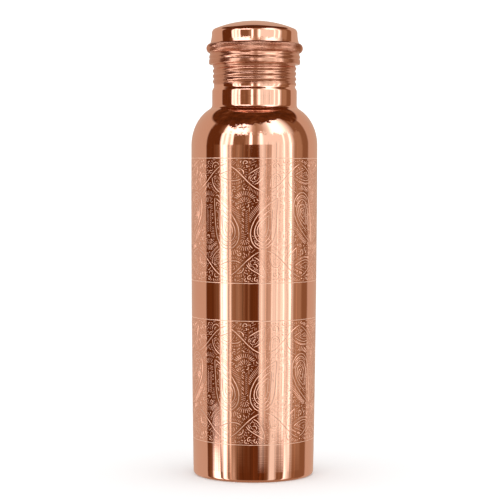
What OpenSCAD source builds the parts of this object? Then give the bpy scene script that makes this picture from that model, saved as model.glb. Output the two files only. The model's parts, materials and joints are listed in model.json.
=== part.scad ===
// Copper water bottle with a screw cap. Millimetres, +Z up, origin at the centre of the foot.

/* [Body] */
// Outside diameter of the body just under the shoulder
body_d = 75; // [66:0.5:90]
// Height at which the wall starts to curve into the shoulder
wall_h = 196; // [120:1:230]
// Thickness of the copper sheet of the body
sheet = 0.5; // [0.4:0.1:0.8]
// How far the wall is drawn in at the foot, on each side
foot_draw = 1.6; // [0:0.1:3]
// Outside radius of the corner at the foot
foot_corner = 2; // [1:0.1:3]
// Width of the flat rim turned in under the foot
foot_rim = 2.6; // [2:0.2:6]

/* [Base plate] */
// Depth of the recess under the bottle
base_recess = 4; // [3:0.5:8]
// Height of the raised panel in the middle of the base
base_panel_h = 1.2; // [0.4:0.2:3]
// Diameter of the raised panel
base_panel_d = 46; // [20:1:54]

/* [Shoulder and neck] */
// Height of the shoulder's curve
shoulder_h = 21.6; // [14:0.2:30]
// How far round its ellipse the shoulder's curve runs, in degrees
shoulder_turn = 64; // [50:1:70]
// Radius of the hollow where the shoulder meets the neck
neck_fillet = 3; // [1.5:0.5:5]
// Outside diameter of the plain part of the neck
neck_d = 50.4; // [46:0.2:54]
// Height of the plain part of the neck
neck_h = 8; // [4:0.5:16]
// Height of the slope from the plain neck in to the thread
step_h = 2.6; // [1.5:0.1:5]
// How much smaller the thread's root radius is than the plain neck's
step_in = 1; // [0.7:0.1:1.6]
// Radius of the bead rolled in at the mouth
lip_r = 0.9; // [0.8:0.1:1.6]

/* [Thread] */
// Rise of the thread in one turn
pitch = 3.1; // [2.8:0.1:4]
// Height of the neck's ridge over its root
thread_depth = 0.65; // [0.5:0.05:0.8]
// Turns of thread on the neck
neck_turns = 7; // [5:0.5:9]
// Height of the plain part between the thread and the mouth's bead
plain_lip = 3.4; // [2:0.2:5]
// Gap between the cap's thread and the neck's, in radius
thread_gap = 0.2; // [0.15:0.05:0.3]
// Angle at which the neck's thread starts
thread_start = -62; // [-180:1:180]

/* [Cap] */
// Thickness of the copper sheet of the cap
cap_sheet = 0.7; // [0.5:0.1:0.9]
// Thickness of the threaded sleeve in the cap
sleeve_wall = 0.8; // [0.6:0.1:1.2]
// Height of the skirt between its lower edge and the grip bead
skirt_h = 6.7; // [6:0.1:9]
// How far the grip bead stands out of the skirt
bead_out = 2.1; // [1.2:0.1:3]
// Height of the grip bead
bead_h = 5.8; // [4:0.2:7]
// Height of the plain wall between the bead and the dome's corner
cap_wall_h = 5.8; // [4.6:0.2:9]
// How much the plain wall widens down to the bead, on each side
cap_flare = 0.85; // [0.4:0.05:1]
// Radius of the corner between the wall and the dome
dome_corner = 3; // [2:0.2:5]
// Radius of the dome
dome_r = 62; // [45:1:120]

/* [Seal] */
// Thickness of the sealing washer
washer_t = 1.75; // [1:0.05:2.5]
// Width of the sealing washer's ring
washer_w = 4.5; // [3:0.5:8]
// Thickness of the backing plate
plate_t = 0.6; // [0.4:0.1:1]
// How far the plate's middle is pressed down to centre the washer
plate_boss_h = 1; // [0.6:0.1:1.6]
// Gap round and under the washer
seal_gap = 0.05; // [0.03:0.01:0.1]

/* [Hidden] */
copper = "#c77b58";
inner_copper = "#b5694a";
silicone = "#e8e4da";
$fn = 96;

// Body levels and radii
body_r = body_d / 2;
foot_r = body_r - foot_draw;
neck_r = neck_d / 2;
root_r = neck_r - step_in;
crest_r = root_r + thread_depth;

// Outside radius of the wall at height z: one long arc, upright under the shoulder
function wall_r(z) = body_r - foot_draw * pow((wall_h - z) / wall_h, 2);
function wall_lean(z) = atan(2 * foot_draw * (wall_h - z) / (wall_h * wall_h));

// The shoulder's ellipse ends where the neck's fillet starts, at the same slope
function shoulder_a(run) = (body_r - neck_r - run) / (1 - cos(shoulder_turn));
shoulder_b = shoulder_h / sin(shoulder_turn);
function end_normal(a) = atan2(sin(shoulder_turn) / shoulder_b, cos(shoulder_turn) / a);
fillet_run = neck_fillet * (1 - cos(end_normal(shoulder_a(0.45 * neck_fillet))));
ellipse_a = shoulder_a(fillet_run);
fillet_turn = end_normal(ellipse_a);
fillet_end_r = neck_r + neck_fillet * (1 - cos(fillet_turn));
fillet_z = wall_h + shoulder_h + neck_fillet * sin(fillet_turn);
plain_top = fillet_z + neck_h;
root_z = plain_top + step_h;

// Thread widths and levels: a ridge is as wide as the pitch lets it be with play on both sides
neck_ridge_w = 0.71 * pitch;
neck_crest_w = 0.23 * pitch;
cap_ridge_w = 0.65 * pitch;
cap_crest_w = 0.26 * pitch;
thread_sink = 0.2;
thread_steps = 48;
fade_steps = 6;
neck_thread_z = root_z + neck_ridge_w / 2;
mouth_z = neck_thread_z + neck_turns * pitch + neck_ridge_w / 2 + plain_lip + 2 * lip_r;

// Seal levels, up from the mouth
washer_z = mouth_z + seal_gap;
plate_z = washer_z + washer_t + seal_gap;
plate_top_gap = 0.2;
cap_top_z = plate_z + plate_t + plate_top_gap;

// Cap levels and radii, down from the plate, the cap being closed
fit = 0.05;
bead_foot = 0.3;
cap_wall_z = cap_top_z - cap_wall_h;
cap_z = cap_wall_z - bead_foot - bead_h - skirt_h;
bead_z = cap_z + skirt_h + bead_h / 2;
sleeve_in_r = crest_r + thread_gap;
sleeve_out_r = sleeve_in_r + sleeve_wall;
skirt_r = sleeve_out_r + fit + cap_sheet;
rim_out = 0.5;
edge_r = 0.8;
cap_top_r = skirt_r - 1.15;
function cap_wall_r(z) = cap_top_r + cap_flare * pow((cap_top_z - z) / cap_wall_h, 2);
function cap_wall_lean(z) = atan(2 * cap_flare * (cap_top_z - z) / pow(cap_wall_h, 2));
corner_r = cap_top_r - dome_corner;
dome_turn = asin(corner_r / (dome_r - dome_corner));
dome_z = cap_top_z - (dome_r - dome_corner) * cos(dome_turn);

// Sleeve: it stands on the skirt's turned-in edge and ends inside the grip bead
sleeve_z = cap_z + cap_sheet + fit;
sleeve_top_z = bead_z + 0.15 * bead_h;
sleeve_end = 0.3;
cap_thread_z = sleeve_z + cap_ridge_w / 2 + sleeve_end;
cap_turns = floor(8 * (sleeve_top_z - cap_thread_z - cap_ridge_w / 2 - sleeve_end) / pitch) / 8;
// The cap's ridge runs half a pitch above the neck's
cap_thread_angle = thread_start + 360 * ((cap_thread_z - neck_thread_z) / pitch - 0.5);

// Seal radii
plate_r = cap_wall_r(plate_z + plate_t) - cap_sheet - fit;
washer_out_r = root_r + 0.3;
washer_in_r = washer_out_r - washer_w;
boss_gap = 0.3;
boss_r = washer_in_r - boss_gap;

// Steps of a curve from 0 to 1
function steps(n) = [for (i = [0:n]) i / n];

// A skin is a list of [radius, height, angle of the outward normal]
function outer(skin) = [for (p = skin) [p[0], p[1]]];
function inset(skin, t) = [for (p = skin) [p[0] - t * cos(p[2]), p[1] - t * sin(p[2])]];
function back(list) = [for (i = [len(list) - 1:-1:0]) list[i]];
function arc(r, z, radius, from, to, n) =
    [for (s = steps(n)) let (a = from + (to - from) * s) [r + radius * cos(a), z + radius * sin(a), a]];
function hollow_arc(r, z, radius, from, to, n) =
    [for (p = arc(r, z, radius, from, to, n)) [p[0], p[1], p[2] - 180]];

body_skin = concat(
    [[foot_r - foot_corner - foot_rim, 0, -90]],
    arc(foot_r - foot_corner, foot_corner, foot_corner, -90, -wall_lean(foot_corner), 5),
    [for (s = steps(14)) if (s > 0) let (z = foot_corner + (wall_h - foot_corner) * s) [wall_r(z), z, -wall_lean(z)]],
    [for (s = steps(14)) if (s > 0) let (t = shoulder_turn * s)
        [body_r - ellipse_a * (1 - cos(t)), wall_h + shoulder_b * sin(t), atan2(sin(t) / shoulder_b, cos(t) / ellipse_a)]],
    [for (s = steps(6)) if (s > 0) let (a = 180 + fillet_turn * (1 - s))
        [neck_r + neck_fillet + neck_fillet * cos(a), fillet_z + neck_fillet * sin(a), a - 180]],
    [[neck_r, plain_top, 0]],
    [for (s = steps(6)) if (s > 0) [neck_r - step_in * (1 - cos(180 * s)) / 2, plain_top + step_h * s,
        atan(90 * PI / 180 * step_in * sin(180 * s) / step_h)]]);

// The body: foot, wall, shoulder and neck of one sheet, with a bead at the mouth
module body_profile() {
    bead = arc(root_r - lip_r, mouth_z - lip_r, lip_r, 0, 250, 12);
    polygon(concat(outer(body_skin), outer(bead), [[root_r - sheet, mouth_z - 2.4 * lip_r]],
        back(inset(body_skin, sheet))));
}

// A ridge that climbs round the axis and sinks away at both ends. side is 1 outwards and -1 inwards.
module thread_ridge(base_r, side, base_w, crest_w, z, turns, start) {
    n = round(turns * thread_steps);
    low = base_r - side * thread_sink;
    function crest(i) = base_r + side * (min(1, i / fade_steps, (n - i) / fade_steps)
        * (thread_depth + thread_sink / 2) - thread_sink / 2);
    function ring(i) =
        let (a = start + 360 * i / thread_steps, h = z + pitch * i / thread_steps, top = crest(i))
        [for (q = [[low, -base_w / 2], [top, -crest_w / 2], [top, crest_w / 2], [low, base_w / 2]])
            [q[0] * cos(a), q[0] * sin(a), h + q[1]]];
    function facing(f) = side > 0 ? f : [f[2], f[1], f[0]];
    points = [for (i = [0:n]) each ring(i)];
    sides = [for (i = [0:n - 1], j = [0:3])
        let (a = 4 * i + j, b = 4 * i + (j + 1) % 4)
        each [facing([a, b, a + 4]), facing([b, b + 4, a + 4])]];
    e = 4 * n;
    ends = [facing([2, 1, 0]), facing([3, 2, 0]), facing([e, e + 1, e + 2]), facing([e, e + 2, e + 3])];
    polyhedron(points, concat(sides, ends));
}

module body_shell() {
    color(copper) union() {
        rotate_extrude() body_profile();
        thread_ridge(root_r, 1, neck_ridge_w, neck_crest_w, neck_thread_z, neck_turns, thread_start);
    }
}

// The base plate: a pressed disc with a turned-down rim, brazed inside the wall just above the foot's corner
plate_bend = 0.6;
module base_plate() {
    rim_r = wall_r(foot_corner) - sheet - fit;
    top_r = wall_r(base_recess + plate_bend) - sheet - fit;
    floor_z = base_recess + plate_bend;
    panel_r = base_panel_d / 2;
    skin = [[rim_r, foot_corner, 0], [top_r, base_recess, 0], [top_r - plate_bend, floor_z, 45],
        [panel_r + base_panel_h, floor_z, 90], [panel_r, floor_z + base_panel_h, 90],
        [0, floor_z + base_panel_h, 90]];
    color(inner_copper) rotate_extrude() polygon(concat(outer(skin), back(inset(skin, sheet))));
}

// Skirt, from its edge up: how far each line stands out of the skirt, and its share of the skirt's height
skirt_lines = [[rim_out, 0.4], [rim_out / 2, 0.5], [0.8 * rim_out, 0.6], [0.8 * rim_out, 0.74], [0, 0.85], [0, 0.96]];
bead_turn = 75;

cap_skin = concat(
    [[sleeve_in_r + thread_gap / 2, cap_z, -90]],
    arc(skirt_r + rim_out - edge_r, cap_z + edge_r, edge_r, -90, 0, 4),
    [for (p = skirt_lines) [skirt_r + p[0], cap_z + skirt_h * p[1], 0]],
    [for (s = steps(12)) let (a = bead_turn * (2 * s - 1))
        [skirt_r + bead_out * (cos(a) - cos(bead_turn)) / (1 - cos(bead_turn)),
            bead_z + bead_h / 2 * sin(a) / sin(bead_turn), atan2(sin(a) * 2 / bead_h, cos(a) / bead_out)]],
    [for (s = steps(6)) let (z = cap_wall_z + cap_wall_h * s) [cap_wall_r(z), z, cap_wall_lean(z)]],
    [for (p = arc(corner_r, cap_top_z, dome_corner, 0, 90 - dome_turn, 5)) if (p[2] > 0) p],
    [for (s = steps(12)) if (s > 0) let (a = 90 - dome_turn * (1 - s))
        [dome_r * cos(a), dome_z + dome_r * sin(a), a]]);

// The cap: dome, wall, grip bead and skirt of one sheet, its edge turned in under the sleeve
module cap_shell() {
    color(copper) rotate_extrude() polygon(concat(outer(cap_skin), back(inset(cap_skin, cap_sheet))));
}

// The threaded sleeve brazed inside the skirt
module thread_sleeve() {
    color(inner_copper) union() {
        rotate_extrude() polygon([[sleeve_in_r, sleeve_z], [sleeve_out_r, sleeve_z],
            [sleeve_out_r, sleeve_top_z], [sleeve_in_r, sleeve_top_z]]);
        thread_ridge(sleeve_in_r, -1, cap_ridge_w, cap_crest_w, cap_thread_z, cap_turns, cap_thread_angle);
    }
}

// The plate brazed under the dome, which the washer bears on
module backing_plate() {
    slope = plate_boss_h;
    color(inner_copper) rotate_extrude() polygon([[0, plate_z - plate_boss_h],
        [boss_r - slope, plate_z - plate_boss_h], [boss_r, plate_z], [plate_r, plate_z],
        [plate_r, plate_z + plate_t], [boss_r - plate_t / 2, plate_z + plate_t],
        [boss_r - slope - plate_t / 2, plate_z + plate_t - plate_boss_h], [0, plate_z + plate_t - plate_boss_h]]);
}

// The silicone ring between the plate and the mouth
module sealing_washer() {
    color(silicone) difference() {
        translate([0, 0, washer_z]) cylinder(r = washer_out_r, h = washer_t);
        translate([0, 0, washer_z - washer_t]) cylinder(r = washer_in_r, h = 3 * washer_t);
    }
}

body_shell();
base_plate();
cap_shell();
thread_sleeve();
backing_plate();
sealing_washer();
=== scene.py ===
import bmesh
import bpy
import json
import math
import random
import numpy as np
from mathutils import Matrix, Vector
from mathutils.geometry import delaunay_2d_cdt

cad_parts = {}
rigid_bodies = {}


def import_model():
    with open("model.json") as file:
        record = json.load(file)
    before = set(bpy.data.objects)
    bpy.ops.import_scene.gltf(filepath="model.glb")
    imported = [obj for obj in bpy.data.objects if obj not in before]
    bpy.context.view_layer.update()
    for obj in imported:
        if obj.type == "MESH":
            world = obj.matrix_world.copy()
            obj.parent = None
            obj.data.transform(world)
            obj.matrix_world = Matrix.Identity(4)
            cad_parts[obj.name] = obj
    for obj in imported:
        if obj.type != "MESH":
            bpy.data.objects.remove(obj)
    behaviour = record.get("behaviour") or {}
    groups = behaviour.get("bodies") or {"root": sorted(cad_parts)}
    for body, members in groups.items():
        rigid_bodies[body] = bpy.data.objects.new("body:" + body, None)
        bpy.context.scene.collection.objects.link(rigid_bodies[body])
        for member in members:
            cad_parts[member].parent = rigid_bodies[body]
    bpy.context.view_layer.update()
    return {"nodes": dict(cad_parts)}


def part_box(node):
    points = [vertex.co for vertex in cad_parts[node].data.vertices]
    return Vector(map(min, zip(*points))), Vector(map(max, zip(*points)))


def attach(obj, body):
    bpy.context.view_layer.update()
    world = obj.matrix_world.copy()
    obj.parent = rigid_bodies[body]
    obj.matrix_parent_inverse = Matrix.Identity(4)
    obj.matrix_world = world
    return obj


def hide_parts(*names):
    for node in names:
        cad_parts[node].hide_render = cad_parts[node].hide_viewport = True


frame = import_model()
mm = 0.001
print("frame loaded")


# small helpers

def deselectAll():
    if bpy.context.object and bpy.context.object.mode != "OBJECT":
        bpy.ops.object.mode_set(mode="OBJECT")
    bpy.ops.object.select_all(action="DESELECT")


def makeActive(piece):
    deselectAll()
    piece.select_set(True)
    bpy.context.view_layer.objects.active = piece


def spinChains(name, chains, sides):
    # each chain of (radius, height) in mm is drawn as a line of vertices, then all of them are spun round Z
    deselectAll()
    bpy.ops.mesh.primitive_plane_add(size=mm, location=(0, 0, 0))
    piece = bpy.context.object
    piece.name = piece.data.name = name
    bpy.ops.object.mode_set(mode="EDIT")
    bpy.ops.mesh.delete(type="VERT")
    for chain in chains:
        bpy.ops.mesh.select_all(action="DESELECT")
        bpy.ops.mesh.primitive_plane_add(size=mm, location=(chain[0][0] * mm, 0, chain[0][1] * mm))
        bpy.ops.mesh.merge(type="CENTER")
        for a, b in zip(chain, chain[1:]):
            step = ((b[0] - a[0]) * mm, 0, (b[1] - a[1]) * mm)
            bpy.ops.mesh.extrude_region_move(TRANSFORM_OT_translate={"value": step})
    bpy.ops.mesh.select_all(action="SELECT")
    bpy.ops.mesh.spin(steps=sides, angle=2 * math.pi, center=(0, 0, 0), axis=(0, 0, 1))
    bpy.ops.mesh.select_all(action="SELECT")
    bpy.ops.mesh.remove_doubles(threshold=0.002 * mm)
    bpy.ops.mesh.normals_make_consistent(inside=False)
    bpy.ops.object.mode_set(mode="OBJECT")
    piece.matrix_world = Matrix.Identity(4)
    return piece


def smoothPiece(piece, angle):
    makeActive(piece)
    bpy.ops.object.shade_smooth_by_angle(angle=math.radians(angle))


def arc(r, z, radius, start, end, count):
    angles = [math.radians(start + (end - start) * k / count) for k in range(count + 1)]
    return [(r + radius * math.cos(a), z + radius * math.sin(a)) for a in angles]


def inwards(line, thickness):
    # the same line moved to its left-hand side, which is the inside when the line runs up the outside
    out = []
    for k, p in enumerate(line):
        a, b = line[max(k - 1, 0)], line[min(k + 1, len(line) - 1)]
        dr, dz = b[0] - a[0], b[1] - a[1]
        length = math.hypot(dr, dz)
        out.append((max(p[0] - thickness * dz / length, 0), p[1] + thickness * dr / length))
    return out


# body: sizes in mm

body = {
    "radius": 37.5, "wallTop": 196.0, "drawIn": 1.6, "footCorner": 2.0, "footRim": 2.6, "sheet": 0.5,
    "shoulderHeight": 21.6, "shoulderTurn": 64.0, "fillet": 3.0,
    "neckRadius": 25.2, "neckHeight": 8.0, "slopeHeight": 2.6, "slopeIn": 1.0, "lip": 0.9, "underLip": 3.2,
    "pitch": 3.1, "threadDepth": 0.65, "threadTurns": 7.0,
    "threadStart": -62.0,      # degrees round from +X at which the ridge begins
    "threadFade": 0.12,        # turns over which it rises and ends
    "ridgeShare": 0.71,        # width of the ridge, as a share of the pitch
    "rowsPerTurn": 10,
    "bands": ((22.2, 94.4), (116.3, 188.5)), "borderWidth": 0.5, "borderDepth": 0.08,
    # heights of the rings of vertices below, between and above the engraved bands, and down the inside
    "lowRings": (6, 12, 18), "middleRings": (98, 102, 105.4, 109, 112.5), "highRings": (190.5, 193, 196),
    "insideRings": (190, 150, 110, 70, 30, 8, 2.4),
    "sides": 128, "smoothAngle": 50,
}
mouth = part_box("body_shell")[1][2] / mm
rootRadius = body["neckRadius"] - body["slopeIn"]


def wallRadius(z):
    return body["radius"] - body["drawIn"] * ((body["wallTop"] - z) / body["wallTop"]) ** 2


def wallSlope(z):
    return 2 * body["drawIn"] * (body["wallTop"] - z) / body["wallTop"] ** 2


def shoulderLine(count):
    # part of an ellipse from the wall up, and a hollow fillet into the neck that it meets without a break
    turn = math.radians(body["shoulderTurn"])
    tall = body["shoulderHeight"] / math.sin(turn)

    def across(run):
        return (body["radius"] - body["neckRadius"] - run) / (1 - math.cos(turn))

    def endNormal(wide):
        return math.atan2(math.sin(turn) / tall, math.cos(turn) / wide)

    run = body["fillet"] * (1 - math.cos(endNormal(across(0.45 * body["fillet"]))))
    wide = across(run)
    last = endNormal(wide)
    top = body["wallTop"] + body["shoulderHeight"] + body["fillet"] * math.sin(last)
    line = [(body["radius"] - wide * (1 - math.cos(turn * k / count)),
             body["wallTop"] + tall * math.sin(turn * k / count)) for k in range(1, count + 1)]
    hollow = arc(body["neckRadius"] + body["fillet"], top, body["fillet"], 180 + math.degrees(last), 180, 9)
    return line + hollow[1:], top


def bodyChains():
    foot = wallRadius(0)
    corner = arc(foot - body["footCorner"], body["footCorner"], body["footCorner"], -90, -1, 8)
    w, d = body["borderWidth"] / 2, body["borderDepth"]
    (low0, low1), (high0, high1) = body["bands"]

    def border(z):
        return [(wallRadius(z - w), z - w), (wallRadius(z) - d, z), (wallRadius(z + w), z + w)]

    wallA = [(wallRadius(z), z) for z in body["lowRings"]] + border(low0)
    wallB = border(low1) + [(wallRadius(z), z) for z in body["middleRings"]] + border(high0)
    wallC = border(high1) + [(wallRadius(z), z) for z in body["highRings"]]
    shoulder, top = shoulderLine(26)
    plain = top + body["neckHeight"]
    slope = [(body["neckRadius"] - body["slopeIn"] * (1 - math.cos(math.pi * k / 8)) / 2,
              plain + body["slopeHeight"] * k / 8) for k in range(9)]
    rootStart = plain + body["slopeHeight"]
    threadEnd = mouth - 2 * body["lip"] - body["underLip"]
    rows = round((threadEnd - rootStart) / (body["pitch"] / body["rowsPerTurn"]))
    thread = [(rootRadius, rootStart + (threadEnd - rootStart) * k / rows) for k in range(1, rows + 1)]
    bead = arc(rootRadius - body["lip"], mouth - body["lip"], body["lip"], 0, 250, 14)
    neck = [(body["neckRadius"], top + 2.7), (body["neckRadius"], top + 5.3)]
    outside = wallC + shoulder + neck + slope + thread + bead
    inside = [(rootRadius - body["sheet"], mouth - 2.5 * body["lip"])]
    inside += inwards([(rootRadius, rootStart), (rootRadius, rootStart + 12)], body["sheet"])[::-1]
    inside += inwards([(body["neckRadius"], top), (body["neckRadius"], plain)], body["sheet"])[::-1]
    inside += inwards(shoulder[:-9], body["sheet"])[::-3]
    inside += [(wallRadius(z) - body["sheet"], z) for z in body["insideRings"]]
    inside += inwards(corner[:-1], body["sheet"])[::-2][1:]
    rim = foot - body["footCorner"] - body["footRim"]
    inside += [(rim, body["sheet"]), (rim, 0)]
    return [inside + corner + wallA, wallB, outside + inside[:1]], rootStart


def threadRise(angle, z, rootStart):
    # height of the rolled ridge over the root, in mm; it fades in at its start and out at its end
    first = rootStart + body["ridgeShare"] * body["pitch"] / 2
    turns = (z - first) / body["pitch"]
    phase = turns - (angle - math.radians(body["threadStart"])) / (2 * math.pi)
    near = round(phase)
    along = turns - (phase - near)         # turns from the ridge's start to the nearest crest
    toEnd = min(along, body["threadTurns"] - along)
    fade = min(1.0, max(0.0, toEnd / body["threadFade"]))
    return body["threadDepth"] * fade * (0.5 + 0.5 * math.cos(2 * math.pi * (phase - near))) ** 0.85


def raiseThread(piece, rootStart):
    top = mouth - 2 * body["lip"] - 0.1
    for v in piece.data.vertices:
        x, y, z = v.co / mm
        r = math.hypot(x, y)
        if rootStart + 0.05 < z < top and r > rootRadius - 0.1:
            angle = math.atan2(y, x)
            rise = max(threadRise(angle, z, rootStart), threadRise(angle + 2 * math.pi, z, rootStart))
            v.co.x, v.co.y = (r + rise) / r * x * mm, (r + rise) / r * y * mm
    piece.data.update()


# engraved ornament, drawn flat and wrapped round the wall: sizes in mm

engraving = {
    "radius": 37.3,       # radius at which the flat drawing is true to size
    "width": 0.5,         # width of a stroke
    "depth": 0.13,        # depth of a stroke along its bottom line
    "spacing": 0.78,      # least distance between two strokes
    "channel": 1.25,      # clear metal beside the big outlines
    "bend": 0.08,         # a stroke's pieces leave its true curve by no more than this
    "shortest": 0.95,     # a shorter stroke is left out
    "cell": 0.15,         # grid on which used metal is marked
    "edge": 0.6,          # clear metal along the borders
    "walk": 0.3,          # steps in which a line is tried for free metal
    "repeats": 10,        # big mangoes round the body
    "bigMango": (29.5, 18.0), "smallMangoes": ((14.5, 8.8), (11.5, 7.4)),      # height and width
    "turn": -3,           # turns the drawing round the body, in steps of the wall's sides
    "seed": 11,
}
drawingLength = 2 * math.pi * engraving["radius"]
drawingHeight = body["bands"][0][1] - body["bands"][0][0] - body["borderWidth"]
cellCounts = [int(size / engraving["cell"]) + 2 for size in (drawingLength, drawingHeight)]
usedMetal = np.zeros(cellCounts, dtype=bool)
strokes, dots = [], []


def markUsed(x, y, radius):
    c = engraving["cell"]
    i0, i1 = max(int((x - radius) / c), 0), min(int((x + radius) / c) + 2, usedMetal.shape[0])
    j0, j1 = max(int((y - radius) / c), 0), min(int((y + radius) / c) + 2, usedMetal.shape[1])
    gx, gy = np.ogrid[i0:i1, j0:j1]
    usedMetal[i0:i1, j0:j1] |= (gx * c - x) ** 2 + (gy * c - y) ** 2 < radius * radius


def isFree(x, y):
    edge = engraving["edge"]
    if not (edge < x < drawingLength - edge and edge < y < drawingHeight - edge):
        return False
    return not usedMetal[int(x / engraving["cell"] + 0.5), int(y / engraving["cell"] + 0.5)]


def lineLength(line):
    return sum(math.dist(a, b) for a, b in zip(line, line[1:]))


def evenly(line, step):
    # the same line with points at even steps along it
    total = lineLength(line)
    count = max(1, round(total / step))
    out, walked, want = [line[0]], 0.0, 1
    for a, b in zip(line, line[1:]):
        d = math.dist(a, b)
        while want < count and walked + d >= total * want / count:
            s = (total * want / count - walked) / d
            out.append((a[0] + (b[0] - a[0]) * s, a[1] + (b[1] - a[1]) * s))
            want += 1
        walked += d
    return out + [line[-1]]


def thinned(line):
    # the fewest points that keep the line within the allowed bend
    if len(line) < 3:
        return line
    a, b = line[0], line[-1]
    length = max(math.dist(a, b), 1e-6)
    off = [abs((b[0] - a[0]) * (p[1] - a[1]) - (b[1] - a[1]) * (p[0] - a[0])) / length for p in line]
    if math.dist(a, b) < 0.3:
        off = [math.dist(a, p) for p in line]
    far = max(range(1, len(line) - 1), key=lambda k: off[k])
    if off[far] <= engraving["bend"]:
        return [a, b]
    return thinned(line[:far + 1])[:-1] + thinned(line[far:])


def cut(line, clear=None):
    # engraves the stretches of a line that are clear of what is engraved already
    runs, run = [], []
    for p in evenly(line, engraving["walk"]):
        if isFree(*p):
            run.append(p)
        else:
            runs.append(run)
            run = []
    for run in runs + [run]:
        if len(run) > 1 and lineLength(run) >= engraving["shortest"]:
            strokes.append(thinned(run))
            for p in run:
                markUsed(p[0], p[1], clear or engraving["spacing"])


def dot(x, y):
    if isFree(x, y):
        dots.append((x, y))
        markUsed(x, y, engraving["spacing"])


def mangoLine(cx, cy, tall, wide, side, turn, scale, count=60):
    # a drop whose tip bends over to one side
    line = []
    for k in range(count + 1):
        t = 2 * math.pi * k / count
        up = (math.cos(t) + 1) / 2
        x = scale * (wide / 2 * math.sin(t) * abs(math.sin(t / 2)) ** 0.75 + side * wide * 0.5 * up ** 2.6)
        y = scale * tall / 2 * math.cos(t) - tall * 0.1 * (1 - scale)
        a = math.radians(turn)
        line.append((cx + x * math.cos(a) - y * math.sin(a), cy + x * math.sin(a) + y * math.cos(a)))
    return line


def curl(x, y, radius, start, side, turns=1.35, count=24):
    line = []
    for k in range(count + 1):
        a = start + side * 2 * math.pi * turns * k / count
        r = radius * (1 - 0.82 * k / count)
        line.append((x + r * math.cos(a), y + r * math.sin(a)))
    return line


def stem(p0, p1, p2, p3, count=30):
    line = []
    for k in range(count + 1):
        t = k / count
        w = ((1 - t) ** 3, 3 * t * (1 - t) ** 2, 3 * t * t * (1 - t), t ** 3)
        line.append(tuple(sum(w[i] * p[c] for i, p in enumerate((p0, p1, p2, p3))) for c in (0, 1)))
    return line


def beside(line, step, away):
    # points along a line, moved to its left by away, with the direction of the line at each
    places = evenly(line, step)
    out = []
    for k, p in enumerate(places):
        a, b = places[max(k - 1, 0)], places[min(k + 1, len(places) - 1)]
        d = max(math.dist(a, b), 1e-6)
        ux, uy = (b[0] - a[0]) / d, (b[1] - a[1]) / d
        out.append((p[0] - uy * away, p[1] + ux * away, ux, uy))
    return out


def comb(line, away, reach, lean=0.35, step=0.9):
    # short strokes side by side, standing off a line
    side = 1 if away > 0 else -1
    for x, y, ux, uy in beside(line, step, away):
        tip = (x - uy * side * reach + ux * lean * reach, y + ux * side * reach + uy * lean * reach)
        cut([(x, y), tip])


def pearls(line, away, step=1.15):
    for x, y, _, _ in beside(line, step, away):
        dot(x, y)


def fan(x, y, inner, outer, middle, spread, count):
    for k in range(count):
        share = k / (count - 1) - 0.5
        a = math.radians(middle + spread * share)
        points = [(inner, a), ((inner + outer) / 2, a + 0.1 * share), (outer, a + 0.25 * share)]
        cut([(x + r * math.cos(t), y + r * math.sin(t)) for r, t in points])


def bigMango(cx, cy, tall, wide, side, turn, pearled):
    outline = mangoLine(cx, cy, tall, wide, side, turn, 1.0)
    cut(outline, engraving["channel"])
    tip = outline[0]
    lean = math.radians(turn)
    hook = (tip[0] - side * 2.1 * math.cos(lean), tip[1] - side * 2.1 * math.sin(lean))
    cut(curl(hook[0], hook[1], 1.9, lean + (0 if side > 0 else math.pi), side, 0.95, 20))
    rings = [mangoLine(cx, cy, tall, wide, side, turn, 1 - gap / wide) for gap in (2.6, 6.2, 10.2, 13.8)]
    for ring in rings[:3]:
        cut(ring)
    if pearled:
        pearls(rings[0], -0.95)
    else:
        comb(rings[0], -0.85, 1.0, 0.2)
    comb(rings[1], -0.85, 1.1, -0.3)
    cut(rings[3])
    return outline


def smallMango(cx, cy, tall, wide, side, turn):
    outline = mangoLine(cx, cy, tall, wide, side, turn, 1.0, 40)
    cut(outline, engraving["spacing"] + 0.25)
    cut(mangoLine(cx, cy, tall, wide, side, turn, 1 - 2.3 / wide, 40))
    pearls(mangoLine(cx, cy, tall, wide, side, turn, 1 - 4.1 / wide, 40), 0, 1.0)
    comb(outline, 1.15, 1.1, 0.5)


def grid(start, end, step):
    return [(x, y) for x in np.arange(start, drawingLength - end, step)
            for y in np.arange(start, drawingHeight - end, step)]


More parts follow.
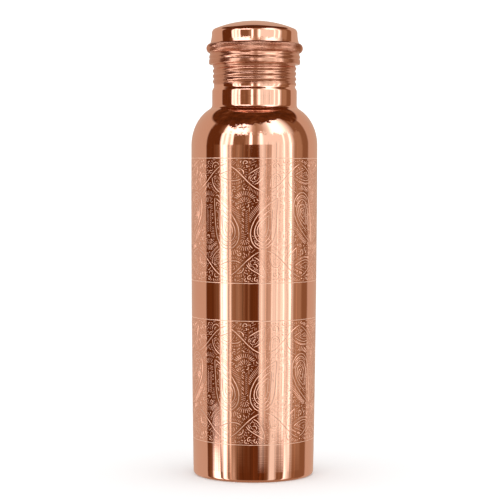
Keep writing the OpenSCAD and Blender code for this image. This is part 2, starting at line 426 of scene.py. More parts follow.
def drawOrnament():
    random.seed(engraving["seed"])
    repeats = engraving["repeats"]
    pitch, mid = drawingLength / repeats, drawingHeight / 2
    outlines, stems = [], []
    for k in range(repeats):      # big mangoes in the middle row, in facing pairs
        side = 1 if k % 2 else -1
        turn = 180 if (k // 2) % 2 else 0
        outlines.append(bigMango((k + 0.5) * pitch - side * 1.6, mid + (1.5 if turn else -1.5),
                                 *engraving["bigMango"], side, turn, k % 2 == 0))
    for k in range(repeats):      # long double stems above and below them
        x, flip = k * pitch, (1 if k % 2 else -1)
        for up in (1, -1):
            y = mid + up * 15.5
            for off in (0.0, 1.6):
                line = stem((x - flip * (12 - off), y + up * (17.5 - off)),
                            (x - flip * 2, y + up * (15 - off)),
                            (x + flip * (1 + off), y + up * (3 - off)),
                            (x + flip * (12 - off), y + up * (1.5 + off)))
                cut(line, engraving["channel"] if off == 0 else None)
                stems.append(line)
    for k in range(repeats):      # smaller mangoes, big curls and fans in the top and bottom rows
        x, side = (k + 0.5) * pitch, (-1 if k % 2 else 1)
        for up in (1, -1):
            lying, standing = engraving["smallMangoes"]
            smallMango(x + side * 4.2, mid + up * 25.5, *lying, side * up, 90 * side + 25 * up)
            smallMango(x - side * 6.5, mid + up * 21.5, *standing, -side * up, 180 if up > 0 else 0)
            for cx, cy, radius, start, way in ((x + side, 32.0, 2.7, 0.4 * k, side),
                                               (x - side * 6.4, 31.3, 3.0, 1 + 0.6 * k, -side),
                                               (x - side * 10.5, 27.0, 2.4, 2 - 0.5 * k, side)):
                around = curl(cx, mid + up * cy, radius, start, way)
                cut(around, engraving["spacing"] + 0.1)
                comb(around[:14], 0.95 * -way, 1.2, 0.3)
            fan(k * pitch, mid + up * 9.5, 1.6, 4.4, 90 * up, 120, 9)
            fan(k * pitch, mid + up * 9.5, 5.0, 7.8, 90 * up, 100, 12)
            fan(k * pitch + side * 4, mid + up * 27, 1.2, 4.6, 60 * up, 170, 10)
    for k in range(repeats):      # a row of chevrons between two big mangoes
        for y in np.arange(-6, 6.5, 1.15):
            for s in (1, -1):
                cut([(k * pitch + s * 0.45, mid + y - 0.4), (k * pitch + s * 1.7, mid + y + 0.7)])
    for line in outlines:         # the combed ground beside the big outlines and stems
        comb(line, 1.5, 2.7, 0.25)
    for line in stems:
        for away in (1.1, -1.1):
            comb(line, away, 2.4, 0.4)
    spots = grid(1.5, 1.0, 2.0)
    random.shuffle(spots)
    for x, y in spots:            # small scrolls and fans wherever there is room
        x, y = x + random.uniform(-0.8, 0.8), y + random.uniform(-0.8, 0.8)
        kind, a = random.random(), random.uniform(0, 2 * math.pi)
        if not isFree(x, y):
            continue
        if kind < 0.5:
            cut(curl(x, y, random.uniform(1.3, 1.9), a, random.choice((1, -1)), 1.0, 14))
        else:
            fan(x - 1.2 * math.cos(a), y - 1.2 * math.sin(a), 0.4, 2.8, math.degrees(a), 110, 5)
    spots = grid(0.7, 0.7, 0.6)
    random.shuffle(spots)
    for x, y in spots:            # short strokes, then dots, in what is left
        if isFree(x, y):
            flow = 1.7 * math.sin(x * 0.21 + 1.3 * math.sin(y * 0.13)) + 1.5 * math.cos(y * 0.19 + x * 0.05)
            a, bend = flow + random.uniform(-0.4, 0.4), random.uniform(-0.6, 0.6)
            length = random.uniform(1.4, 2.6)
            cut([(x + length * s * math.cos(a + bend * s), y + length * s * math.sin(a + bend * s))
                 for s in (0, 0.33, 0.67, 1)])
    for x, y in spots[::6]:
        dot(x, y)


def flatDrawing():
    # the drawing as a flat mesh of points (x, y, depth) and faces; its long edges match the spun wall's
    points, depths, edges = [], [], []

    def add(x, y, depth):
        points.append(Vector((x, y)))
        depths.append(depth)
        return len(points) - 1

    def link(ids, closed=False):
        edges.extend(zip(ids, ids[1:] + ids[:1] if closed else ids[1:]))

    sides, half = body["sides"], engraving["width"] / 2
    upright = 24
    rim = [add(drawingLength * k / sides, 0, 0) for k in range(sides)]
    rim += [add(drawingLength, drawingHeight * k / upright, 0) for k in range(upright)]
    rim += [add(drawingLength * k / sides, drawingHeight, 0) for k in range(sides, 0, -1)]
    rim += [add(0, drawingHeight * k / upright, 0) for k in range(upright, 0, -1)]
    link(rim, True)
    for line in strokes:      # a groove with two edges, a bottom line and blunt ends
        left, middle, right = [], [], []
        for k, p in enumerate(line):
            a, b = line[max(k - 1, 0)], line[min(k + 1, len(line) - 1)]
            d = max(math.dist(a, b), 1e-6)
            ux, uy = (b[0] - a[0]) / d * half, (b[1] - a[1]) / d * half
            atEnd = (k == 0) - (k == len(line) - 1)      # 1 at the start, -1 at the end
            narrow, inset = (0.6, 0.5 * atEnd) if atEnd else (1.0, 0)
            left.append(add(p[0] - uy * narrow, p[1] + ux * narrow, 0))
            middle.append(add(p[0] + ux * inset, p[1] + uy * inset, engraving["depth"]))
            right.append(add(p[0] + uy * narrow, p[1] - ux * narrow, 0))
        link(left + right[::-1], True)
        link(middle)
    for x, y in dots:
        ring = [add(x + half * 1.3 * math.cos(a), y + half * 1.3 * math.sin(a), 0)
                for a in np.linspace(0, 2 * math.pi, 4, endpoint=False)]
        link(ring, True)
        add(x, y, engraving["depth"])
    verts, _, faces, sources, _, _ = delaunay_2d_cdt(points, edges, [], 1, 1e-5)
    flat = [(v.x, v.y, max([depths[s] for s in src] or [0])) for v, src in zip(verts, sources)]
    return flat, faces


def wrapDrawing(name, flat, faces, band):
    # the flat mesh on the wall, its seam at the back
    low = band[0] + body["borderWidth"] / 2
    high = band[1] - body["borderWidth"] / 2
    start = math.pi / 2 + 2 * math.pi * engraving["turn"] / body["sides"]
    coords = []
    for x, y, depth in flat:
        z = low + (high - low) * y / drawingHeight
        a = start + 2 * math.pi * x / drawingLength
        r = wallRadius(z) - depth
        coords.append((r * math.cos(a) * mm, r * math.sin(a) * mm, z * mm))
    mesh = bpy.data.meshes.new(name)
    mesh.from_pydata(coords, [], faces)
    depthOf = mesh.attributes.new("cut", "FLOAT", "POINT")
    depthOf.data.foreach_set("value", [d / engraving["depth"] for _, _, d in flat])
    onBand = mesh.attributes.new("band", "FLOAT", "FACE")
    onBand.data.foreach_set("value", [1.0] * len(mesh.polygons))
    piece = bpy.data.objects.new(name, mesh)
    bpy.context.collection.objects.link(piece)
    return piece


def markBorders(piece):
    # the border lines get the same finish as the engraved strokes
    mesh = piece.data
    values = np.zeros(len(mesh.vertices), dtype=np.float32)
    mesh.attributes["cut"].data.foreach_get("value", values)
    edges = [edge for band in body["bands"] for edge in band]
    outside = body["radius"] - body["drawIn"] - 2 * body["sheet"]
    for k, v in enumerate(mesh.vertices):
        onEdge = min(abs(v.co.z / mm - edge) for edge in edges) < 0.02
        if onEdge and math.hypot(v.co.x, v.co.y) / mm > outside:
            values[k] = 1.0
    mesh.attributes["cut"].data.foreach_set("value", values)


def markLining(piece):
    # the faces that look towards the axis are the unpolished inside
    mesh = piece.data
    normals = np.empty(len(mesh.polygons) * 3, dtype=np.float32)
    centres = np.empty(len(mesh.polygons) * 3, dtype=np.float32)
    mesh.polygons.foreach_get("normal", normals)
    mesh.polygons.foreach_get("center", centres)
    outward = (normals.reshape(-1, 3) * centres.reshape(-1, 3))[:, :2].sum(axis=1)
    radius = np.hypot(*centres.reshape(-1, 3)[:, :2].T)
    lining = mesh.attributes.new("lining", "FLOAT", "FACE")
    lining.data.foreach_set("value", (outward < -0.05 * radius).astype(np.float32))


def setBodyNormals(piece):
    # the plain wall gets its true normals, so that it mirrors cleanly between the strokes
    mesh = piece.data
    count = len(mesh.loops)
    normals = np.empty(count * 3, dtype=np.float32)
    mesh.corner_normals.foreach_get("vector", normals)
    normals = normals.reshape(-1, 3)
    coords = np.empty(len(mesh.vertices) * 3, dtype=np.float32)
    mesh.vertices.foreach_get("co", coords)
    coords = coords.reshape(-1, 3) / mm
    radius = np.hypot(coords[:, 0], coords[:, 1])
    z = coords[:, 2]
    onWall = (np.abs(radius - wallRadius(z)) < 0.02) & (z > 5) & (z < body["wallTop"] + 0.5)
    slope = wallSlope(z)
    lean = 1 / np.sqrt(1 + slope ** 2)
    true = np.stack([coords[:, 0] / radius * lean, coords[:, 1] / radius * lean, -slope * lean], axis=1)
    corner = np.empty(count, dtype=np.int32)
    mesh.loops.foreach_get("vertex_index", corner)
    totals = np.empty(len(mesh.polygons), dtype=np.int32)
    faceNormals = np.empty(len(mesh.polygons) * 3, dtype=np.float32)
    mesh.polygons.foreach_get("loop_total", totals)
    mesh.polygons.foreach_get("normal", faceNormals)
    faceNormals = faceNormals.reshape(-1, 3)
    owner = np.repeat(np.arange(len(mesh.polygons)), totals)
    wholeFace = np.ones(len(mesh.polygons), dtype=bool)
    np.logical_and.at(wholeFace, owner, onWall[corner])
    band = np.zeros(len(mesh.polygons), dtype=np.float32)
    mesh.attributes["band"].data.foreach_get("value", band)
    wall = wholeFace[owner]
    normals[wall] = true[corner[wall]]
    strokeFace = (band > 0.5)[owner] & ~wall
    normals[strokeFace] = faceNormals[owner[strokeFace]]
    mesh.normals_split_custom_set([tuple(n) for n in normals.tolist()])


def buildBody():
    chains, rootStart = bodyChains()
    piece = spinChains("body_copper", chains, body["sides"])
    raiseThread(piece, rootStart)
    smoothPiece(piece, body["smoothAngle"])
    drawOrnament()
    flat, faces = flatDrawing()
    print("ornament:", len(strokes), "strokes,", len(dots), "dots,", len(faces), "faces a band")
    patches = [wrapDrawing("band_patch", flat, faces, band) for band in body["bands"]]
    deselectAll()
    for patch in patches:
        patch.select_set(True)
    piece.select_set(True)
    bpy.context.view_layer.objects.active = piece
    bpy.ops.object.join()
    bpy.ops.object.mode_set(mode="EDIT")
    bpy.ops.mesh.select_all(action="SELECT")
    bpy.ops.mesh.remove_doubles(threshold=0.005 * mm)
    bpy.ops.mesh.normals_make_consistent(inside=False)
    bpy.ops.object.mode_set(mode="OBJECT")
    smoothPiece(piece, body["smoothAngle"])
    markBorders(piece)
    markLining(piece)
    setBodyNormals(piece)
    return piece


bodyCopper = buildBody()
print("body:", len(bodyCopper.data.polygons), "faces")


# cap: sizes in mm; it hangs from the plate over the mouth

cap = {
    "sheet": 0.7, "skirtHeight": 6.7, "rimOut": 0.5, "edge": 0.8, "topIn": 1.15,
    "beadOut": 2.1, "beadHeight": 5.8, "beadFoot": 0.3, "beadTurn": 75.0,
    "wallHeight": 5.8, "flare": 0.85, "corner": 3.0, "dome": 62.0,
    # rolled rim, notch, ridge and recess of the skirt: share of its height, share of rimOut
    "skirtMarks": ((0.36, 1.0), (0.41, 0.9), (0.455, 0.5), (0.5, 0.3), (0.545, 0.45), (0.6, 0.8),
                   (0.66, 0.86), (0.73, 0.8), (0.79, 0.5), (0.84, 0.12), (0.89, 0.0), (0.955, 0.0)),
    "sleeveGap": 0.05, "turnedIn": 2.6,
    "sides": 372, "knurlRows": 20, "knurlDepth": 0.18, "smoothAngle": 24,
}
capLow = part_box("cap_shell")[0][2] / mm
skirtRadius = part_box("thread_sleeve")[1][0] / mm + cap["sleeveGap"] + cap["sheet"]
capBeadZ = capLow + cap["skirtHeight"] + cap["beadHeight"] / 2


def capBead(count):
    turn = math.radians(cap["beadTurn"])
    line = []
    for k in range(count + 1):
        a = turn * (2 * k / count - 1)
        line.append((skirtRadius + cap["beadOut"] * (math.cos(a) - math.cos(turn)) / (1 - math.cos(turn)),
                     capBeadZ + cap["beadHeight"] / 2 * math.sin(a) / math.sin(turn)))
    return line


def capChain():
    wallZ = capLow + cap["skirtHeight"] + cap["beadHeight"] + cap["beadFoot"]
    topZ = wallZ + cap["wallHeight"]
    topRadius = skirtRadius - cap["topIn"]
    rim = skirtRadius + cap["rimOut"]
    edge = arc(rim - cap["edge"], capLow + cap["edge"], cap["edge"], -90, 0, 8)
    skirt = [(skirtRadius + cap["rimOut"] * out, capLow + cap["skirtHeight"] * up)
             for up, out in cap["skirtMarks"]]
    bead = capBead(cap["knurlRows"])
    wall = [(topRadius + cap["flare"] * (1 - k / 8) ** 2, wallZ + cap["wallHeight"] * k / 8)
            for k in range(9)]
    cornerRadius = topRadius - cap["corner"]
    domeTurn = math.degrees(math.asin(cornerRadius / (cap["dome"] - cap["corner"])))
    domeZ = topZ - (cap["dome"] - cap["corner"]) * math.cos(math.radians(domeTurn))
    corner = arc(cornerRadius, topZ, cap["corner"], 0, 90 - domeTurn, 9)
    dome = arc(0, domeZ, cap["dome"], 90 - domeTurn, 90, 14)
    outside = edge + skirt + bead + wall + corner[1:] + dome[1:-1] + [(0, dome[-1][1])]
    inside = [(0, dome[-1][1] - cap["sheet"])]
    inside += inwards(corner[1:] + dome[1:-1], cap["sheet"])[::-4]
    inside += inwards(wall, cap["sheet"])[::-3]
    inside += inwards(bead, cap["sheet"])[::-3]
    lining, lip = skirtRadius - cap["sheet"], edge[0][0] - cap["turnedIn"]
    inside += [(lining, capLow + cap["skirtHeight"]), (lining, capLow + cap["sheet"]),
               (lip + 0.2, capLow + cap["sheet"] * 0.9), (lip, capLow + cap["sheet"] / 2),
               (lip + 0.2, capLow)]
    return outside + inside + outside[:1]


def knurl(piece):
    # every other vertex of the bead's grid is pressed in; each face is folded between its two pressed corners
    bead = capBead(cap["knurlRows"])
    mesh = bmesh.new()
    mesh.from_mesh(piece.data)
    pressed, onBead = set(), set()
    for v in mesh.verts:
        x, y, z = v.co / mm
        r = math.hypot(x, y)
        row = min(range(len(bead)), key=lambda k: abs(bead[k][1] - z))
        if abs(bead[row][1] - z) > 0.03 or abs(bead[row][0] - r) > 0.1:
            continue
        onBead.add(v)
        column = round(math.atan2(y, x) / (2 * math.pi) * cap["sides"])
        if (row + column) % 2:
            press = cap["knurlDepth"] * min(1.0, min(row, cap["knurlRows"] - row) / 3)
            v.co.x, v.co.y = (r - press) / r * x * mm, (r - press) / r * y * mm
            pressed.add(v)
    for face in [f for f in mesh.faces if len(f.verts) == 4 and all(v in onBead for v in f.verts)]:
        a, b = [v for v in face.verts if v in pressed]
        bmesh.utils.face_split(face, a, b)
    mesh.to_mesh(piece.data)
    mesh.free()
    piece.data.update()


def buildCap():
    piece = spinChains("cap_copper", [capChain()], cap["sides"])
    knurl(piece)
    smoothPiece(piece, cap["smoothAngle"])
    return piece


capCopper = buildCap()
print("cap:", len(capCopper.data.polygons), "faces")

# base plate: sizes in mm

basePlate = {
    "sheet": 0.5, "recess": 4.0, "bend": 0.6, "panel": 23.0, "panelHeight": 1.2,
    "sides": 128, "smoothAngle": 40,
}


def buildBasePlate():
    low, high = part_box("base_plate")
    rim, start = high[0] / mm, low[2] / mm
    floor = basePlate["recess"] + basePlate["bend"]
    top = floor + basePlate["panelHeight"]
    p, h = basePlate["panel"], basePlate["panelHeight"]
    # up the turned-down rim, over its bend, in across the floor and up to the raised panel
    upper = [(rim, start), (rim - 0.01, basePlate["recess"] - 0.2), (rim - 0.12, basePlate["recess"] + 0.25),
             (rim - 0.55, floor - 0.03), (rim - 1.2, floor), (p + 3 * h, floor),
             (p + h * 1.3, floor + 0.08 * h), (p + h * 0.9, floor + 0.35 * h),
             (p + h * 0.55, floor + 0.7 * h), (p + h * 0.1, floor + 0.95 * h),
             (p - h, top), (p * 0.6, top), (p * 0.25, top), (0, top)]
    lower = inwards(upper[:-1], basePlate["sheet"])[::-1]
    chain = upper + [(0, top - basePlate["sheet"])] + lower + upper[:1]
    piece = spinChains("base_copper", [chain], basePlate["sides"])
    smoothPiece(piece, basePlate["smoothAngle"])
    return piece


baseCopper = buildBasePlate()
print("base plate:", len(baseCopper.data.polygons), "faces")


# materials

def nodeMaker(material):
    tree = material.node_tree

    def make(kind, **settings):
        node = tree.nodes.new(kind)
        for key, value in settings.items():
            if key in node.inputs:
                node.inputs[key].default_value = value
            else:
                setattr(node, key, value)
        return node

    return make, tree.links.new


def newMaterial(name):
    material = bpy.data.materials.new(name)
    material.use_nodes = True
    material.node_tree.nodes.clear()
    make, link = nodeMaker(material)
    out = make("ShaderNodeOutputMaterial")
    shader = make("ShaderNodeBsdfPrincipled")
    link(shader.outputs["BSDF"], out.inputs["Surface"])
    return material, shader, make, link


def rampNode(make, stops):
    ramp = make("ShaderNodeValToRGB")
    elements = ramp.color_ramp.elements
    while len(elements) > 1:
        elements.remove(elements[-1])
    elements[0].position, elements[0].color = stops[0][0], stops[0][1]
    for position, color in stops[1:]:
        elements.new(position).color = color
    return ramp


def grey(v):
    return (v, v, v, 1)


def mathNode(make, link, operation, a, b=None):
    node = make("ShaderNodeMath", operation=operation)
    for k, value in enumerate((a, b)):
        if value is None:
            continue
        if isinstance(value, (int, float)):
            node.inputs[k].default_value = value
        else:
            link(value, node.inputs[k])
    return node.outputs[0]


def mixNode(make, link, share, a, b, kind="RGBA", blend="MIX"):
    # a where the share is 0 and b where it is 1; each is a socket or a plain value
    node = make("ShaderNodeMix", data_type=kind, blend_type=blend)
    first = 6 if kind == "RGBA" else 2
    for k, value in ((0, share), (first, a), (first + 1, b)):
        if isinstance(value, bpy.types.NodeSocket):
            link(value, node.inputs[k])
        else:
            node.inputs[k].default_value = value
    return node.outputs[2 if kind == "RGBA" else 0]


copperFinish = {
    "color": (0.95, 0.62, 0.50, 1), "deepColor": (0.92, 0.55, 0.42, 1), "cloudScale": 26.0,
    "roughness": 0.035, "smudgeRoughness": 0.08, "smudgeScale": 60.0,
    "spinMarks": 0.01, "spinScale": (14, 14, 2600), "waviness": 0.09, "waveScale": 38.0,
    # the satin colour is darker than the copper's own: painted shade on the cap's skirt under the bead and on
    # the neck's thread
    "shadedSatinColor": (0.74, 0.43, 0.32, 1), "satinRoughness": 0.2,
    "grooveColor": (0.93, 0.59, 0.44, 1), "grooveRoughness": 0.5, "grooveMetal": 0.5,
    "liningShare": 0.4,      # how far the inside has the grooves' finish
}


def copperMaterial(name, finish, engraved=False, satin=None):
    # the last argument is the lowest and highest height, in mm, of the part with the duller finish and the
    # darker colour of painted shade
    material, shader, make, link = newMaterial(name)
    coords = make("ShaderNodeTexCoord").outputs["Object"]
    shader.inputs["Metallic"].default_value = 1.0
    # colour: faint clouds of deeper copper
    clouds = make("ShaderNodeTexNoise", Scale=finish["cloudScale"], Detail=4.0, Roughness=0.6)
    link(coords, clouds.inputs["Vector"])
    cloudRamp = rampNode(make, [(0.35, grey(0)), (0.7, grey(1))])
    link(clouds.outputs["Fac"], cloudRamp.inputs["Fac"])
    cloudShare = mathNode(make, link, "MULTIPLY", cloudRamp.outputs["Color"], 0.5)
    color = mixNode(make, link, cloudShare, finish["color"], finish["deepColor"])
    # roughness: handling smudges and fine rub marks
    smudges = make("ShaderNodeTexNoise", Scale=finish["smudgeScale"], Detail=6.0, Roughness=0.65,
                   Distortion=0.6)
    link(coords, smudges.inputs["Vector"])
    smudgeRamp = rampNode(make, [(0.5, grey(finish["roughness"])), (0.72, grey(finish["smudgeRoughness"]))])
    link(smudges.outputs["Fac"], smudgeRamp.inputs["Fac"])
    rough = smudgeRamp.outputs["Color"]
    if satin:      # the rolled thread and the knurled skirt are duller than the drawn walls; their darker colour is painted shade
        apart = make("ShaderNodeSeparateXYZ")
        link(coords, apart.inputs[0])
        ends = []
        for edge, way in zip(satin, (1, -1)):
            ends.append(make("ShaderNodeMapRange"))
            ends[-1].inputs[1].default_value = (edge - way * 0.5) * mm
            ends[-1].inputs[2].default_value = (edge + way * 0.5) * mm
            link(apart.outputs[2], ends[-1].inputs[0])
        inside = mathNode(make, link, "MULTIPLY", ends[0].outputs[0], ends[1].outputs[0])
        rough = mixNode(make, link, inside, rough, finish["satinRoughness"], "FLOAT")
        # painted shade: the darker satin colour over the skirt under the bead and over the thread
        color = mixNode(make, link, inside, color, finish["shadedSatinColor"])
    # spin marks: rings that the turning left, drawn out round the axis
    stretch = make("ShaderNodeMapping")
    stretch.inputs["Scale"].default_value = finish["spinScale"]
    link(coords, stretch.inputs["Vector"])
    rings = make("ShaderNodeTexNoise", Scale=1.0, Detail=3.0, Roughness=0.7)
    link(stretch.outputs["Vector"], rings.inputs["Vector"])
    waves = make("ShaderNodeTexNoise", Scale=finish["waveScale"], Detail=1.0, Roughness=0.4)
    link(coords, waves.inputs["Vector"])
    waveBump = make("ShaderNodeBump", Strength=finish["waviness"], Distance=0.002)
    link(waves.outputs["Fac"], waveBump.inputs["Height"])
    ringBump = make("ShaderNodeBump", Strength=finish["spinMarks"], Distance=0.0004)
    link(rings.outputs["Fac"], ringBump.inputs["Height"])
    link(waveBump.outputs["Normal"], ringBump.inputs["Normal"])
    link(ringBump.outputs["Normal"], shader.inputs["Normal"])
    if engraved:      # the strokes are left satin by the tool, and so to a lesser degree is the inside
        cutValue = make("ShaderNodeAttribute", attribute_name="cut").outputs["Fac"]
        inGroove = rampNode(make, [(0.2, grey(0)), (0.45, grey(1))])
        link(cutValue, inGroove.inputs["Fac"])
        lining = make("ShaderNodeAttribute", attribute_name="lining").outputs["Fac"]
        lining = mathNode(make, link, "MULTIPLY", lining, finish["liningShare"])
        inGroove = mathNode(make, link, "MAXIMUM", inGroove.outputs["Color"], lining)
        color = mixNode(make, link, inGroove, color, finish["grooveColor"])
        rough = mixNode(make, link, inGroove, rough, finish["grooveRoughness"], "FLOAT")
        link(mixNode(make, link, inGroove, 1.0, finish["grooveMetal"], "FLOAT"), shader.inputs["Metallic"])
    link(color, shader.inputs["Base Color"])
    link(rough, shader.inputs["Roughness"])
    return material


siliconeFinish = {
    "color": (0.78, 0.76, 0.70, 1), "dustColor": (0.66, 0.63, 0.57, 1), "grainScale": 420.0,
    "roughness": 0.42, "pressed": 0.6,
}


def siliconeMaterial():
    material, shader, make, link = newMaterial("silicone_ring")
    coords = make("ShaderNodeTexCoord").outputs["Object"]
    grain = make("ShaderNodeTexNoise", Scale=siliconeFinish["grainScale"], Detail=5.0, Roughness=0.6)
    link(coords, grain.inputs["Vector"])
    color = mixNode(make, link, grain.outputs["Fac"], siliconeFinish["color"], siliconeFinish["dustColor"])
    link(color, shader.inputs["Base Color"])
    rough = rampNode(make, [(0.3, grey(siliconeFinish["roughness"])), (0.7, grey(siliconeFinish["pressed"]))])
    link(grain.outputs["Fac"], rough.inputs["Fac"])
    link(rough.outputs["Color"], shader.inputs["Roughness"])
    bump = make("ShaderNodeBump", Strength=0.15, Distance=0.0002)
    link(grain.outputs["Fac"], bump.inputs["Height"])
    link(bump.outputs["Normal"], shader.inputs["Normal"])
    shader.inputs["Subsurface Weight"].default_value = 0.1
    return material


innerFinish = dict(copperFinish, color=(0.92, 0.57, 0.45, 1), deepColor=(0.80, 0.44, 0.31, 1),
                   roughness=0.22, smudgeRoughness=0.36, spinMarks=0.08)
beadTop = capBeadZ + cap["beadHeight"] / 2
threadZone = (mouth - 28, mouth - 3)
# the cap's skirt and bead, and the neck's thread, get the duller finish and a darker colour of painted shade
polishedCopper = copperMaterial("polished_copper", copperFinish, satin=(capLow, beadTop))
engravedCopper = copperMaterial("engraved_copper", copperFinish, engraved=True, satin=threadZone)
innerCopper = copperMaterial("inner_copper", innerFinish)
silicone = siliconeMaterial()


def setMaterial(piece, material):
    piece.data.materials.clear()
    piece.data.materials.append(material)


setMaterial(bodyCopper, engravedCopper)
setMaterial(capCopper, polishedCopper)
setMaterial(baseCopper, innerCopper)
hidden = {"thread_sleeve": innerCopper, "backing_plate": innerCopper, "sealing_washer": silicone}
for name, material in hidden.items():
    for slot in frame["nodes"][name].material_slots:
        slot.material = material
print("materials ready")

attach(bodyCopper, "bottle")
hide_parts("body_shell")
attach(baseCopper, "bottle")
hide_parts("base_plate")
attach(capCopper, "cap")
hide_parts("cap_shell")

# floor

floorFinish = {"size": 30, "darkTone": 0.88, "paleTone": 0.9, "grainScale": 3.0, "roughness": 0.9}
deselectAll()
bpy.ops.mesh.primitive_plane_add(size=floorFinish["size"], location=(0, 0, 0))
floor = bpy.context.object
floor.name = "studio_floor"
floorMaterial, floorShader, make, link = newMaterial("studio_floor")
floorGrain = make("ShaderNodeTexNoise", Scale=floorFinish["grainScale"], Detail=2.0)
link(make("ShaderNodeTexCoord").outputs["Object"], floorGrain.inputs["Vector"])
floorTone = rampNode(make, [(0.3, grey(floorFinish["darkTone"])), (0.7, grey(floorFinish["paleTone"]))])
link(floorGrain.outputs["Fac"], floorTone.inputs["Fac"])
link(floorTone.outputs["Color"], floorShader.inputs["Base Color"])
floorShader.inputs["Roughness"].default_value = floorFinish["roughness"]
floorShader.inputs["Specular IOR Level"].default_value = 0.0
setMaterial(floor, floorMaterial)
floor.visible_glossy = False      # the bottle mirrors the studio's panels all the way down

# studio light: what the polished copper mirrors, by direction round the bottle

studio = {
    # azimuth in degrees from the camera's side, positive to the right, and the tone of the panel there
    "panels": [(-99, "backdrop"), (-97, "dark"), (-80, "dark"), (-66, "brown"), (-61, "lamp"),
               (-53, "lamp"), (-49, "cream"), (-44, "cream"), (-41, "amber"), (-36, "brown"),
               (-31, "amber"), (-20, "brown"), (-13, "dark"), (-10, "brown"), (-6, "dark"), (8, "dark"),
               (10, "cream"), (16, "peach"), (22, "salmon"), (30, "salmon"), (33, "peach"), (53, "peach"),
               (56, "lamp"), (58, "peach"), (66, "peach"), (69, "lamp"), (73, "peach"), (79, "amber"),
               (96, "amber"), (100, "brown"), (114, "brown"), (118, "backdrop")],
    # the same round the studio a little higher up, and higher still
    "upperPanels": [(-99, "backdrop"), (-96, "dark"), (-66, "dark"), (-61, "lamp"), (-56, "peach"),
                    (-52, "lamp"), (-46, "cream"), (-41, "lamp"), (-38, "brown"), (-18, "brown"),
                    (-15, "amber"), (-10, "amber"), (-8, "lamp"), (-5, "lamp"), (-3, "amber"),
                    (5, "amber"), (8, "cream"), (12, "lamp"), (17, "peach"), (34, "peach"), (53, "peach"),
                    (56, "lamp"), (58, "peach"), (66, "peach"), (69, "lamp"), (73, "peach"),
                    (79, "amber"), (94, "amber"), (99, "brown"), (114, "brown"), (118, "backdrop")],
    "topPanels": [(-100, "backdrop"), (-94, "dark"), (-76, "dark"), (-64, "brown"), (-58, "lamp"),
                  (-18, "lamp"), (-4, "salmon"), (4, "amber"), (16, "salmon"), (28, "peach"),
                  (36, "lamp"), (58, "lamp"), (72, "peach"), (84, "brown"), (114, "brown"),
                  (118, "backdrop")],
    # and close to the floor
    "footPanels": [(-99, "backdrop"), (-97, "dark"), (-85, "brown"), (-80, "lamp"), (-67, "lamp"),
                   (-65, "brown"), (-61, "brown"), (-59, "lamp"), (-53, "lamp"), (-50, "amber"),
                   (-38, "salmon"), (-32, "brown"), (-26, "dark"), (20, "dark"), (27, "brown"),
                   (31, "peach"), (38, "peach"), (44, "brown"), (58, "brown"), (62, "lamp"),
                   (67, "peach"), (74, "salmon"), (79, "brown"), (114, "brown"), (118, "backdrop")],
    "tones": {
        "backdrop": (0.615, 0.435, 0.33), "dark": (0.128, 0.036, 0.0095), "brown": (0.257, 0.121, 0.0585),
        "amber": (0.415, 0.242, 0.145), "salmon": (0.614, 0.435, 0.325), "cream": (0.94, 0.79, 0.68),
        "peach": (1.07, 0.97, 0.87), "lamp": (2.5, 2.2, 2.1), "ceiling": (0.065, 0.0175, 0.004),
        "below": (0.40, 0.24, 0.155),
    },
    # heights in degrees at which one level ends and the next begins
    "belowStart": -30, "footEnd": -10.6, "upperStart": 1.2, "streakEnd": 9, "topStart": 24,
    "ceilingStart": 49,
    # how far the upper edges wander up and down, and how soft the ceiling's edge is
    "topRagged": 34, "ceilingRagged": 48, "ceilingSoft": 3,
    "ceilingLean": 16,       # the ceiling comes down this much further on the left
    "ceilingBehind": 13,     # and this much further behind the bottle
    "floorLight": 1.25,
}


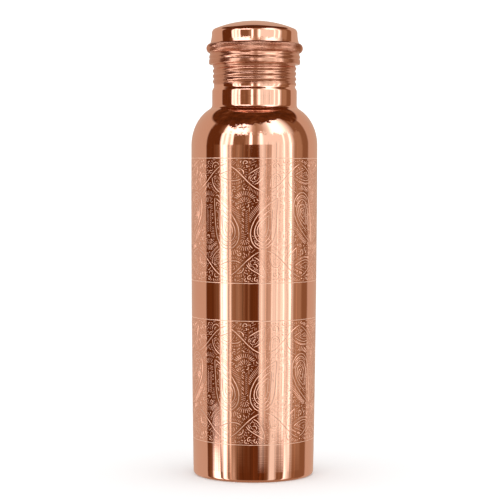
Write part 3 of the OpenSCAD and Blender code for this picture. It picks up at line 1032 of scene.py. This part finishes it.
def buildWorld():
    world = bpy.data.worlds.new("studio")
    bpy.context.scene.world = world
    world.use_nodes = True
    world.node_tree.nodes.clear()
    make, link = nodeMaker(world)

    def tone(name):
        return (*studio["tones"][name], 1)

    def mixed(share, a, b, blend="MIX"):
        return mixNode(make, link, share, a, b, "RGBA", blend)

    def maths(operation, a, b=None):
        return mathNode(make, link, operation, a, b)

    def between(value, low, high):
        node = make("ShaderNodeMapRange")
        node.inputs[1].default_value, node.inputs[2].default_value = low, high
        link(value, node.inputs[0])
        return node.outputs[0]

    def noise(vector, scale, detail, roughness):
        node = make("ShaderNodeTexNoise", Scale=scale, Detail=detail, Roughness=roughness)
        link(vector, node.inputs["Vector"])
        return node.outputs["Fac"]

    def ragged(height, value, amount):
        return maths("ADD", height, maths("MULTIPLY", maths("SUBTRACT", value, 0.5), amount))

    direction = make("ShaderNodeTexCoord").outputs["Generated"]
    split = make("ShaderNodeSeparateXYZ")
    link(direction, split.inputs[0])
    x, y, z = split.outputs
    azimuth = maths("ARCTAN2", x, maths("MULTIPLY", y, -1.0))
    turn = maths("ADD", maths("DIVIDE", azimuth, 2 * math.pi), 0.5)
    height = maths("MULTIPLY", maths("ARCSINE", z), 180 / math.pi)
    levels = []
    for key in ("panels", "upperPanels", "topPanels", "footPanels"):
        ramp = rampNode(make, [((a + 180) / 360, tone(name)) for a, name in studio[key]])
        link(turn, ramp.inputs["Fac"])
        levels.append(ramp.outputs["Color"])
    # fine upright streaks, fading out above the lower panels
    flatWay = make("ShaderNodeCombineXYZ")
    link(maths("MULTIPLY", azimuth, 15.0), flatWay.inputs[0])
    link(maths("MULTIPLY", z, 0.8), flatWay.inputs[1])
    streaks = rampNode(make, [(0.36, grey(0.5)), (0.42, grey(0.9)), (0.56, grey(1.0)), (0.6, grey(1.7)),
                              (0.64, grey(1.0))])
    link(noise(flatWay.outputs[0], 1.0, 3.0, 0.6), streaks.inputs["Fac"])
    # the levels above, each with a ragged lower edge
    coarse = noise(direction, 5.0, 5.0, 0.62)
    fine = noise(direction, 16.0, 5.0, 0.7)
    color = mixed(between(height, studio["footEnd"] - 1.5, studio["footEnd"] + 1.5), levels[3], levels[0])
    color = mixed(between(height, studio["upperStart"], studio["upperStart"] + 0.5), color, levels[1])
    lowEnough = between(height, studio["streakEnd"], studio["upperStart"])
    streaked = maths("MULTIPLY", between(y, 0.1, -0.25), lowEnough)
    color = mixed(streaked, color, streaks.outputs["Color"], "MULTIPLY")
    topEdge = ragged(ragged(height, coarse, studio["topRagged"]), fine, studio["topRagged"])
    color = mixed(between(topEdge, studio["topStart"], studio["topStart"] + 4), color, levels[2])
    # dark ceiling in front and overhead, the backdrop behind
    mottled = rampNode(make, [(0.35, tone("ceiling")), (0.6, tone("dark")), (0.75, tone("brown"))])
    link(coarse, mottled.inputs["Fac"])
    inFront = maths("MAXIMUM", between(y, 0.1, 0.0), between(z, 0.44, 0.64))
    ceiling = mixed(inFront, tone("backdrop"), mottled.outputs["Color"])
    torn = ragged(ragged(0, coarse, studio["ceilingRagged"]), fine, studio["ceilingRagged"] * 0.7)
    torn = maths("SUBTRACT", torn, maths("MULTIPLY", x, studio["ceilingLean"]))
    inView = between(y, 0.1, -0.15)
    torn = maths("MULTIPLY", maths("SUBTRACT", torn, studio["ceilingBehind"]), inView)
    edge = maths("ADD", maths("ADD", height, studio["ceilingBehind"]), torn)
    ceilingEnd = studio["ceilingStart"] + studio["ceilingSoft"]
    color = mixed(between(edge, studio["ceilingStart"], ceilingEnd), color, ceiling)
    color = mixed(between(height, studio["belowStart"], studio["belowStart"] - 12), color, tone("below"))
    # the panels show only in the metal; the floor and the view get an even white
    mirrored = make("ShaderNodeBackground")
    link(color, mirrored.inputs["Color"])
    even = make("ShaderNodeBackground", Color=(1, 1, 1, 1), Strength=studio["floorLight"])
    mix = make("ShaderNodeMixShader")
    link(make("ShaderNodeLightPath").outputs["Is Glossy Ray"], mix.inputs[0])
    link(even.outputs[0], mix.inputs[1])
    link(mirrored.outputs[0], mix.inputs[2])
    link(mix.outputs[0], make("ShaderNodeOutputWorld").inputs["Surface"])


buildWorld()

# camera

view = {"lens": 129.8, "sensor": 36.0, "place": (-0.0024, -1.075, 0.1875), "pitch": 2.86, "roll": 0.17}
cameraData = bpy.data.cameras.new("camera")
cameraData.lens, cameraData.sensor_width = view["lens"], view["sensor"]
camera = bpy.data.objects.new("camera", cameraData)
bpy.context.collection.objects.link(camera)
tilt = Matrix.Rotation(math.radians(90 - view["pitch"]), 4, "X")
roll = Matrix.Rotation(math.radians(view["roll"]), 4, "Z")
camera.matrix_world = Matrix.Translation(view["place"]) @ tilt @ roll
bpy.context.scene.camera = camera
bpy.context.scene.view_settings.view_transform = "Standard"
print("studio ready")
